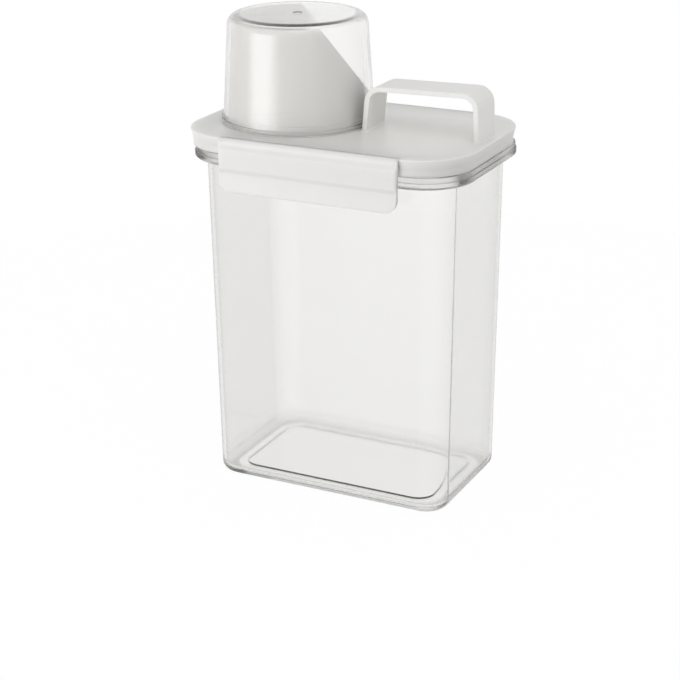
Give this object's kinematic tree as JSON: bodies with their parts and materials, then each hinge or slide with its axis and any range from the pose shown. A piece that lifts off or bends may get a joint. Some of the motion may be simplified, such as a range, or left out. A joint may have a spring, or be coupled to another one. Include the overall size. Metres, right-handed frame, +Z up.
{
  "type": "laundry detergent dispenser",
  "caption": "Clear rectangular container with a latched white lid, a covered slanting pour spout, a strap handle and an upturned measuring cup.",
  "frame": {"origin": "the point on the ground under the lid's middle, 1.4 mm from the middle of the container's foot towards the spout", "axes": "+Z up, +X along the container's length from the spout and cup end towards the handle end, -Y the front latch's side"},
  "size_m": [0.152, 0.1046, 0.24],
  "materials": {
    "clear_plastic": "clear, slightly hazy moulded plastic",
    "white_plastic": "satin white moulded plastic",
    "seal": "translucent soft silicone"
  },
  "bodies": {
    "container": {"container": "clear_plastic"},
    "lid": {"lid": "white_plastic", "lid_seal": "seal", "spout": "white_plastic"},
    "front_latch": {"front_latch": "white_plastic"},
    "rear_latch": {"rear_latch": "white_plastic"},
    "cup": {"measuring_cup": "clear_plastic"}
  },
  "joints": [
    {"name": "lid_lift", "type": "slide", "parent": "container", "child": "lid", "axis": [0, 0, 1], "range_m": [0, 0.025]},
    {"name": "front_latch_hinge", "type": "hinge", "parent": "lid", "child": "front_latch", "pos_m": [0, -0.0492, 0.1841], "axis": [-1, 0, 0], "range_deg": [0, 115]},
    {"name": "rear_latch_hinge", "type": "hinge", "parent": "lid", "child": "rear_latch", "pos_m": [0, 0.0492, 0.1841], "axis": [1, 0, 0], "range_deg": [0, 115]},
    {"name": "cup_lift", "type": "slide", "parent": "lid", "child": "cup", "axis": [0, 0, 1], "range_m": [0, 0.055]}
  ],
  "couplings": [
    {"joint": "front_latch_hinge", "follows": "lid_lift", "rad_per_m": 80},
    {"joint": "rear_latch_hinge", "follows": "lid_lift", "rad_per_m": 80}
  ]
}
